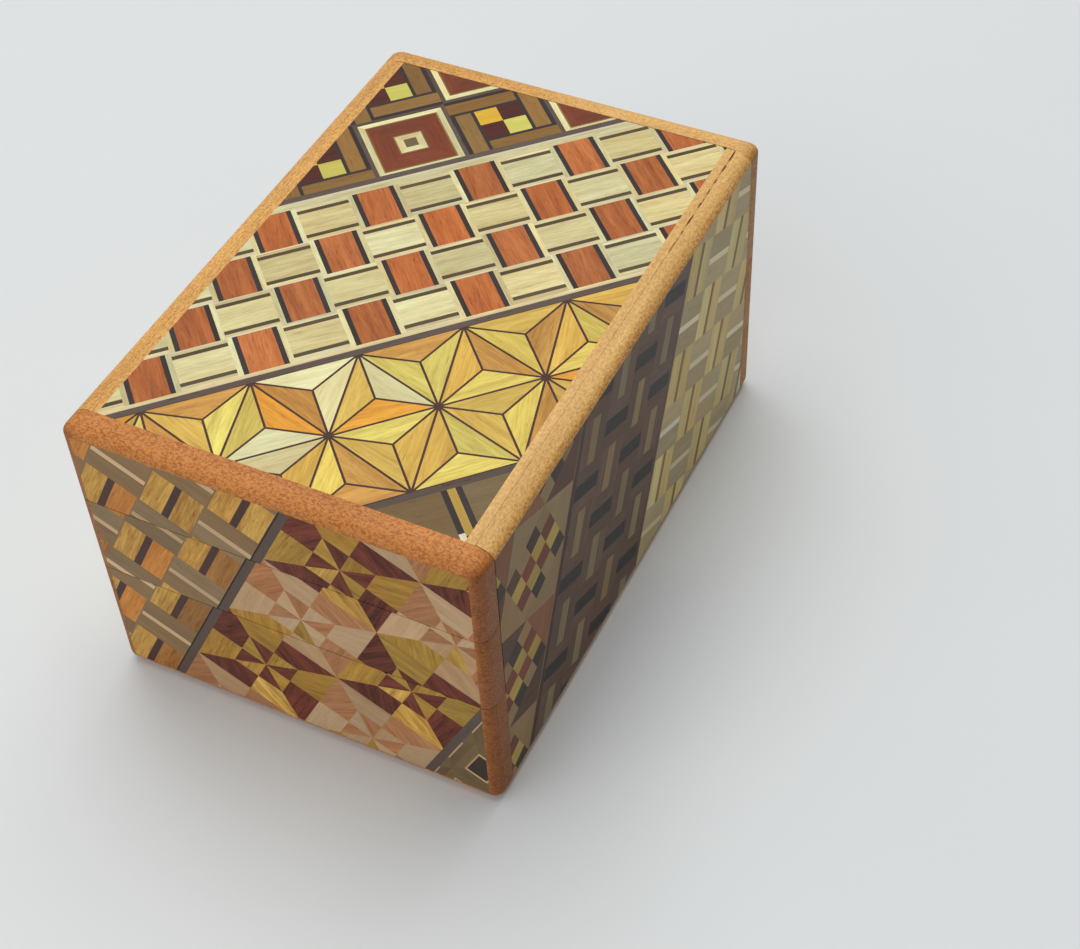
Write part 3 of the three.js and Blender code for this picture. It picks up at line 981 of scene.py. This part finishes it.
def skin_mesh(tiles, place, depth):
    """Each tile as a closed prism of that depth, in lots of tiles with one number of corners.

    place turns (u, v, depth) into a point. Returns the vertices, the faces, and each vertex's tile.
    """
    p = tiles.corners
    kept = np.linalg.norm(np.roll(p, -1, axis=1) - p, axis=2) > LEAST_EDGE
    vertices, faces, owner, used = [], [], [], 0
    for size in range(3, p.shape[1] + 1):
        lot = np.flatnonzero(kept.sum(axis=1) == size)
        ring = p[lot][kept[lot]].reshape(-1, size, 2)
        after = np.roll(ring, -1, axis=1)
        area = np.sum(ring[..., 0] * after[..., 1] - ring[..., 1] * after[..., 0], axis=1) / 2
        ring = np.where(area[:, None, None] < 0, ring, ring[:, ::-1])[np.abs(area) > LEAST_AREA]
        lot = lot[np.abs(area) > LEAST_AREA]
        depths = np.tile(np.repeat([0.0, depth], size), len(lot))
        vertices.append(place(np.column_stack([np.tile(ring, (1, 2, 1)).reshape(-1, 2), depths])))
        corner = np.arange(size)
        beside = (corner + 1) % size
        first = used + 2 * size * np.arange(len(lot))[:, None]
        walls = np.stack([corner, size + corner, size + beside, beside], axis=-1)
        faces += (first + corner).tolist() + (first + size + corner[::-1]).tolist()
        faces += (first[:, None] + walls).reshape(-1, 4).tolist()
        owner.append(np.repeat(lot, 2 * size))
        used += 2 * size * len(lot)
    return np.concatenate(vertices), faces, np.concatenate(owner)


def sheet_bed(low, high, place, near, far):
    """The thin sheet that the tiles are glued to, between two depths."""
    u, v = [low[0], low[0], high[0], high[0]], [low[1], high[1], high[1], low[1]]
    vertices, faces = lofted([place(np.column_stack([u, v, np.full(4, depth)])) for depth in (near, far)])
    return vertices, [face[::-1] for face in faces]


HUE_SPREAD = np.array([[0.0, 0.14, 0.34]])  # how much sticks of one wood differ in green and blue
GRAIN_WANDER = 0.12  # spread of the angle at which a stick lies
STICK_LENGTH = 50.0
GLUE_COLOUR = (0.03, 0.02, 0.015, 1.0)
LEAST_EDGE, LEAST_AREA = 1e-4, 1e-3  # shorter edges and smaller tiles are left out


class Face:
    """One face of the box: where u = v = 0 lies, and the directions of u, of v and of the outside."""

    def __init__(self, corner, u_way, v_way):
        self.corner, self.u_way, self.v_way = (np.array(a, float) for a in (corner, u_way, v_way))
        self.outside = -np.cross(self.u_way, self.v_way)

    def place(self, points):
        u, v, depth = points.T
        return self.corner + np.stack([u, v, -depth], axis=-1) @ [self.u_way, self.v_way, self.outside]

    def limits(self, node):
        """The (u, v) rectangle that a CAD skin covers."""
        ends = (np.array(span(node)) - self.corner) @ np.transpose([self.u_way, self.v_way])
        return ends.min(axis=0), ends.max(axis=0)


FACES = {
    "top": Face([END_X, SIDE_Y, HEIGHT], [0, -1, 0], [-1, 0, 0]),
    "bottom": Face([-END_X, SIDE_Y, 0], [0, -1, 0], [1, 0, 0]),
    "front": Face([-END_X, SIDE_Y, HEIGHT], [0, -1, 0], [0, 0, -1]),
    "back": Face([END_X, -SIDE_Y, HEIGHT], [0, 1, 0], [0, 0, -1]),
    "right": Face([-END_X, -SIDE_Y, HEIGHT], [1, 0, 0], [0, 0, -1]),
    "left": Face([END_X, SIDE_Y, HEIGHT], [-1, 0, 0], [0, 0, -1]),
}


def make_skin(node, face, tiles, seed, kerf=0.0):
    """One skin in place of its CAD sheet. kerf is how much of the pattern the saw took above it."""
    settings, colours = finish_settings(), bpy.context.scene.wood_colours
    surface = FACES[face]
    low, high = surface.limits(node)
    cut = tiles.moved([0, -kerf]).within(low, high)
    depth = SKIN_THICK - settings.skin_bed / MM
    vertices, faces, owner = skin_mesh(cut, surface.place, depth)
    bed_vertices, bed_faces = sheet_bed(low, high, surface.place, depth, SKIN_THICK)
    faces += [[index + len(vertices) for index in face_] for face_ in bed_faces]
    material = shared_material("waxed_marquetry", marquetry_material)
    piece = new_piece(f"{node}_marquetry", np.concatenate([vertices, bed_vertices]), faces, material, node)

    # Each stick's five draws: brightness, hue, turn of the grain, and where in the wood it was cut.
    sticks = np.random.default_rng(seed).random((cut.stick.max() + 1, 5))[cut.stick]
    tone = 1 + (sticks[:, :1] - 0.5) * settings.tone_spread * 2
    hue = 1 + (sticks[:, 1:2] - 0.5) * HUE_SPREAD
    table = np.array([getattr(colours, name) for name in WOOD_NAMES])
    colour = np.insert(np.clip(table[cut.wood] * tone * hue, 0, 1), 3, 1, axis=1)
    strengths = np.array([[figure, pores, 0.0] for _, figure, pores in WOODS.values()])

    u, v = ((vertices - surface.corner) @ np.transpose([surface.u_way, surface.v_way])).T
    angle = cut.grain[owner] + (sticks[owner, 2] - 0.5) * GRAIN_WANDER
    along = u * np.cos(angle) + v * np.sin(angle) + sticks[owner, 3] * STICK_LENGTH
    across = v * np.cos(angle) - u * np.sin(angle) + sticks[owner, 4] * STICK_LENGTH

    bed = len(bed_vertices)
    put_attribute(piece, "wood", colour[owner], bed, GLUE_COLOUR)
    put_attribute(piece, "grain", np.column_stack([along, across, sticks[owner, 0]]), bed)
    put_attribute(piece, "figure", strengths[cut.wood][owner], bed)


def put_attribute(piece, name, values, bed, bed_value=(0.0, 0.0, 0.0)):
    """A value for each vertex of the tiles, and one for all of the bed's. Four numbers are a colour."""
    kind, field = ("FLOAT_COLOR", "color") if len(bed_value) == 4 else ("FLOAT_VECTOR", "vector")
    values = np.concatenate([values, np.tile(bed_value, (bed, 1))]).astype(np.float32)
    piece.data.attributes.new(name, kind, "POINT").data.foreach_set(field, values.reshape(-1))


def shared_material(name, build, *details):
    """The material of that name, made the first time it is asked for."""
    return bpy.data.materials.get(name) or build(*details)


def bare_wood(board):
    """The bare wood of the front strips, the back strips, or the long side boards and plates."""
    settings = finish_settings()
    # The third number paints a highlight on the round of the edge; the last darkens a strip's cut ends,
    # partly for end grain and partly as painted shade.
    colour, lengthwise, pale, end_grain_and_shade = {
        "front": (settings.front_wood, 1, 0.0, 0.45),
        "back": (settings.side_wood, 1, 0.35, 0.35),
        "side": (settings.side_wood, 0, 0.45, 0.0),
    }[board]
    name = f"bare_{board}_wood"
    return shared_material(name, bare_material, name, colour, lengthwise, pale, end_grain_and_shade)


# ---- operators ----

class PUZZLEBOX_OT_stage(bpy.types.Operator):
    """Add the floor, the soft lights and the camera"""

    bl_idname = "puzzlebox.stage"
    bl_label = "Stage"

    camera_place = Vector((-188.3, -118.2, 248.1)) * MM
    camera_forward = Vector((0.5971, 0.3223, -0.7346))
    camera_right = Vector((0.4378, -0.8982, -0.0383))
    focal = 65.15
    floor_half = 2.0
    room_light = {"From Min": -0.9, "From Max": 0.3, "To Min": 0.14, "To Max": 0.42}  # dimmer towards -Y

    def execute(self, context):
        scene = context.scene
        scene.view_settings.view_transform = "Standard"
        mesh = bpy.data.meshes.new("floor")
        mesh.from_pydata([(x, y, 0) for x, y in SQUARE * self.floor_half], [], [(0, 1, 2, 3)])
        mesh.materials.append(floor_material())
        floor = bpy.data.objects.new("floor", mesh)
        scene.collection.objects.link(floor)

        world = bpy.data.worlds.new("soft_room")
        world.use_nodes = True
        nodes, links = world.node_tree.nodes, world.node_tree.links
        nodes["Background"].inputs["Color"].default_value = (0.98, 0.98, 1.0, 1.0)
        direction = nodes.new("ShaderNodeSeparateXYZ")
        links.new(nodes.new("ShaderNodeTexCoord").outputs["Generated"], direction.inputs[0])
        strength = nodes.new("ShaderNodeMapRange")
        for key, value in self.room_light.items():
            strength.inputs[key].default_value = value
        links.new(direction.outputs["Y"], strength.inputs["Value"])
        links.new(strength.outputs["Result"], nodes["Background"].inputs["Strength"])
        scene.world = world
        self.add_light("window", (0.32, 0.16, 1.10), 1.0, 8.5, (1.0, 0.985, 0.95))
        self.add_light("room", (-0.80, 0.25, 0.60), 1.0, 2.9, (1.0, 0.955, 0.89))

        camera = bpy.data.objects.new("camera", bpy.data.cameras.new("camera"))
        camera.data.sensor_width = 36.0
        camera.data.lens = self.focal
        camera.data.clip_start = 0.01
        back = -self.camera_forward.normalized()
        right = (self.camera_right - back * self.camera_right.dot(back)).normalized()
        turn = Matrix((right, back.cross(right), back)).transposed().to_4x4()
        camera.matrix_world = Matrix.Translation(self.camera_place) @ turn
        scene.collection.objects.link(camera)
        scene.camera = camera
        return {"FINISHED"}

    def add_light(self, name, place, size, watts, colour):
        data = bpy.data.lights.new(name, "AREA")
        data.shape = "SQUARE"
        data.size = size
        data.energy = watts
        data.color = colour
        light = bpy.data.objects.new(name, data)
        light.location = place
        light.rotation_euler = (-Vector(place)).to_track_quat("-Z", "Y").to_euler()
        bpy.context.scene.collection.objects.link(light)


class PUZZLEBOX_OT_side_boards(bpy.types.Operator):
    """Make the two long side boards with their rounded edges and grooves"""

    bl_idname = "puzzlebox.side_boards"
    bl_label = "Side boards"

    def execute(self, context):
        settings = finish_settings()
        ease = settings.seam_ease / MM
        section = side_section(ease / 3, settings.round_steps)
        vertices, faces = board_along_x(section, SIDE_LOW[0], SIDE_HIGH[0], ease)
        for word, turn in (("left", as_it_is), ("right", turned_about_z)):
            new_piece(f"{word}_side_rounded_board", turn(vertices), faces, bare_wood("side"),
                      f"side_board_{word}")
        return {"FINISHED"}


HALVES = (("front", "lid", as_it_is), ("back", "base", turned_about_y))


class PUZZLEBOX_OT_panel_plates(bpy.types.Operator):
    """Make the outer plates of the lid and the base"""

    bl_idname = "puzzlebox.panel_plates"
    bl_label = "Lid and base plates"

    def execute(self, context):
        settings = finish_settings()
        ease = settings.seam_ease / MM
        section = plate_section(ease / 3, settings.round_steps)
        vertices, faces = board_along_x(section, PLATE_LOW[0], PLATE_HIGH[0], ease / 2)
        for _, panel, turn in HALVES:
            new_piece(f"{panel}_rounded_plate", turn(vertices), faces, bare_wood("side"), f"{panel}_plate")
        return {"FINISHED"}


class PUZZLEBOX_OT_end_strips(bpy.types.Operator):
    """Make the three strips of each end: the fixed one, the key and the panel's own"""

    bl_idname = "puzzlebox.end_strips"
    bl_label = "End strips"

    def execute(self, context):
        settings = finish_settings()
        ease, steps = settings.seam_ease / MM, settings.round_steps
        # The fixed strip is shaped as a top strip and turned over.
        vertices, faces = strip_board(HEIGHT - FIXED_HIGH, HEIGHT, FIXED_INNER, True, ease, steps)
        fixed = (vertices * [1, -1, -1] + [0, 0, HEIGHT], faces)
        grow = (FIT - SEAM) / 2
        key = strip_board(KEY_LOW - grow, KEY_HIGH + grow, STRIP_INNER, False, ease, steps)
        top = strip_board(LID_STRIP_LOW, HEIGHT, STRIP_INNER, True, ease, steps)
        top = cut_blocks(top, self.slot_blocks())
        for end, panel, turn in HALVES:
            for name, node, (vertices, faces) in (
                    (f"{end}_fixed_rounded_strip", f"{end}_fixed_strip", fixed),
                    (f"{end}_key_rounded_strip", f"{end}_key", key),
                    (f"{panel}_end_rounded_strip", f"{panel}_end_strip", top)):
                new_piece(name, turn(vertices), faces, bare_wood(end), node)
        return {"FINISHED"}

    def slot_blocks(self):
        """The L-shaped slot over the peg: its open branch reaches the inner face, its closed one the
        place where the slid key carries the peg."""
        margin = 1.0
        low, high = PEG_LOW - FIT, PEG_HIGH + FIT
        bottom = LID_STRIP_LOW - margin
        return [([low[0], low[1], bottom], [STRIP_INNER + margin, high[1], high[2]]),
                ([low[0], low[1] - KEY_TRAVEL, bottom], high)]


class PUZZLEBOX_OT_panel_skins(bpy.types.Operator):
    """Lay the marquetry skins on the lid and the base"""

    bl_idname = "puzzlebox.panel_skins"
    bl_label = "Lid and base marquetry"

    def execute(self, context):
        make_skin("lid_skin", "top", lid_tiles(), 21)
        make_skin("base_skin", "bottom", base_tiles(), 22)
        return {"FINISHED"}


class PUZZLEBOX_OT_end_skins(bpy.types.Operator):
    """Lay the marquetry skins on the strips of both ends"""

    bl_idname = "puzzlebox.end_skins"
    bl_label = "End marquetry"

    saw_kerf = 1.3  # how much of the pattern each sawn seam takes

    def execute(self, context):
        rows = {
            "front": (front_tiles(), ("lid_end_strip_skin", "front_key_skin", "front_fixed_strip_skin")),
            "back": (back_tiles(), ("back_fixed_strip_skin", "back_key_skin", "base_end_strip_skin")),
        }
        for face, (tiles, nodes) in rows.items():
            for row, node in enumerate(nodes):
                make_skin(node, face, tiles, 31, kerf=self.saw_kerf * row)
        return {"FINISHED"}


class PUZZLEBOX_OT_side_skins(bpy.types.Operator):
    """Lay the marquetry skins on the long sides"""

    bl_idname = "puzzlebox.side_skins"
    bl_label = "Side marquetry"

    def execute(self, context):
        make_skin("side_skin_right", "right", right_tiles(), 41)
        make_skin("side_skin_left", "left", left_tiles(), 42)
        return {"FINISHED"}


class PUZZLEBOX_OT_inner_woods(bpy.types.Operator):
    """Give the inner box, the runners, the tongues, the pegs and the stop their woods"""

    bl_idname = "puzzlebox.inner_woods"
    bl_label = "Inner woods"

    def execute(self, context):
        settings = finish_settings()
        along_x = planed_material("planed_wood_lengthwise", settings.inner_wood, 0)
        along_y = planed_material("planed_wood_crosswise", settings.inner_wood, 1)
        hard = planed_material("planed_hardwood", settings.key_wood, 1)
        for node, slot in SLOT_OF.items():
            if slot in ("inner_wood", "key_hardwood"):
                materials = frame["nodes"][node].data.materials
                materials.clear()
                wood = along_y if node.startswith("inner_end") else along_x
                materials.append(hard if slot == "key_hardwood" else wood)
        return {"FINISHED"}


class PUZZLEBOX_PT_panel(bpy.types.Panel):
    """Lists the operators and the settings of the puzzle box"""

    bl_label = "Puzzle box"
    bl_idname = "PUZZLEBOX_PT_panel"
    bl_space_type = "VIEW_3D"
    bl_region_type = "UI"
    bl_category = "Puzzle box"

    def draw(self, context):
        layout = self.layout
        for operator in OPERATORS:
            layout.operator(operator.bl_idname)
        for group in (context.scene.box_finish, context.scene.wood_colours):
            box = layout.box()
            for name in group.__annotations__:
                box.prop(group, name)


OPERATORS = (
    PUZZLEBOX_OT_stage, PUZZLEBOX_OT_side_boards, PUZZLEBOX_OT_panel_plates, PUZZLEBOX_OT_end_strips,
    PUZZLEBOX_OT_panel_skins, PUZZLEBOX_OT_end_skins, PUZZLEBOX_OT_side_skins, PUZZLEBOX_OT_inner_woods,
)
CLASSES = (WoodColours, BoxFinish, *OPERATORS, PUZZLEBOX_PT_panel)


def register():
    for cls in CLASSES:
        bpy.utils.register_class(cls)
    bpy.types.Scene.wood_colours = bpy.props.PointerProperty(type=WoodColours)
    bpy.types.Scene.box_finish = bpy.props.PointerProperty(type=BoxFinish)


def unregister():
    del bpy.types.Scene.box_finish
    del bpy.types.Scene.wood_colours
    for cls in reversed(CLASSES):
        bpy.utils.unregister_class(cls)


def main():
    register()
    bpy.ops.puzzlebox.stage()
    bpy.ops.puzzlebox.side_boards()
    bpy.ops.puzzlebox.panel_plates()
    bpy.ops.puzzlebox.end_strips()
    bpy.ops.puzzlebox.panel_skins()
    bpy.ops.puzzlebox.end_skins()
    bpy.ops.puzzlebox.side_skins()
    bpy.ops.puzzlebox.inner_woods()


if __name__ == "__main__":
    main()
